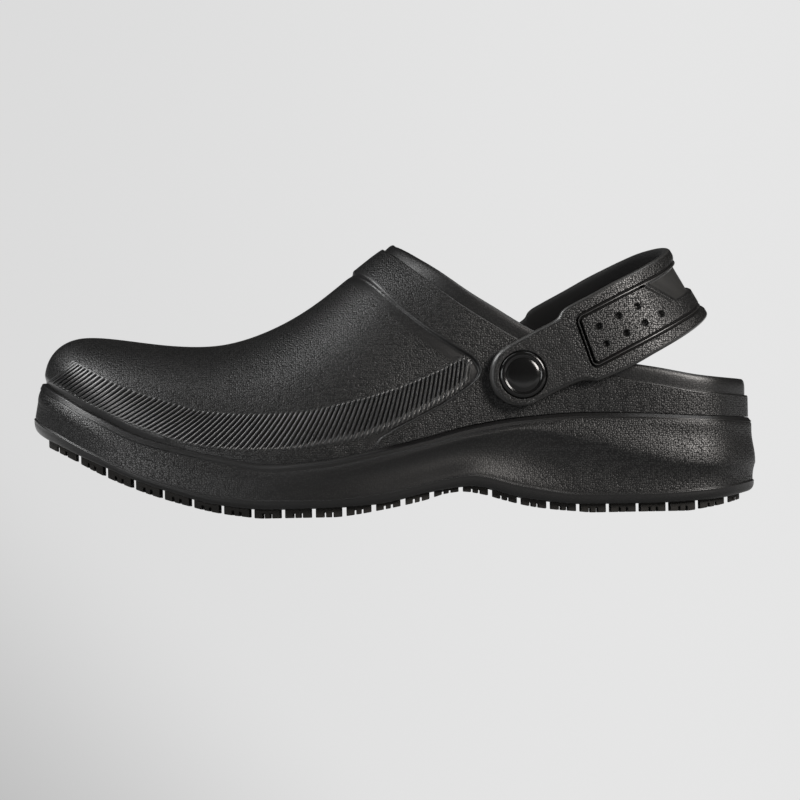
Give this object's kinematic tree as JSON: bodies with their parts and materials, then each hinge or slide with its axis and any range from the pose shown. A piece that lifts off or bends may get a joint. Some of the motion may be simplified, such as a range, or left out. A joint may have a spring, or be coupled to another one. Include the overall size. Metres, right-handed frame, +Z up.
{
  "type": "work clog with heel strap",
  "caption": "Slip-on moulded foam work clog with a closed ribbed toe, raised collar, swivelling heel strap on rivets and a lugged slip-resistant rubber tread",
  "frame": {"origin": "centre of the bounding box on the floor", "axes": "X runs from the toe at -X to the heel at +X, Y from the outer side at -Y to the inner side at +Y, Z up"},
  "size_m": [0.2954, 0.1114, 0.1112],
  "materials": {
    "upper_foam": "fine pebbled satin",
    "sole_foam": "fine pebbled matt",
    "tread_rubber": "matt",
    "footbed": "matt",
    "strap_foam": "satin",
    "rivet": "gloss"
  },
  "bodies": {
    "root": {"upper": "upper_foam", "midsole": "sole_foam", "outsole": "tread_rubber", "insole": "footbed", "heel_strap": "strap_foam", "rivet_near": "rivet", "rivet_far": "rivet"}
  },
  "joints": []
}
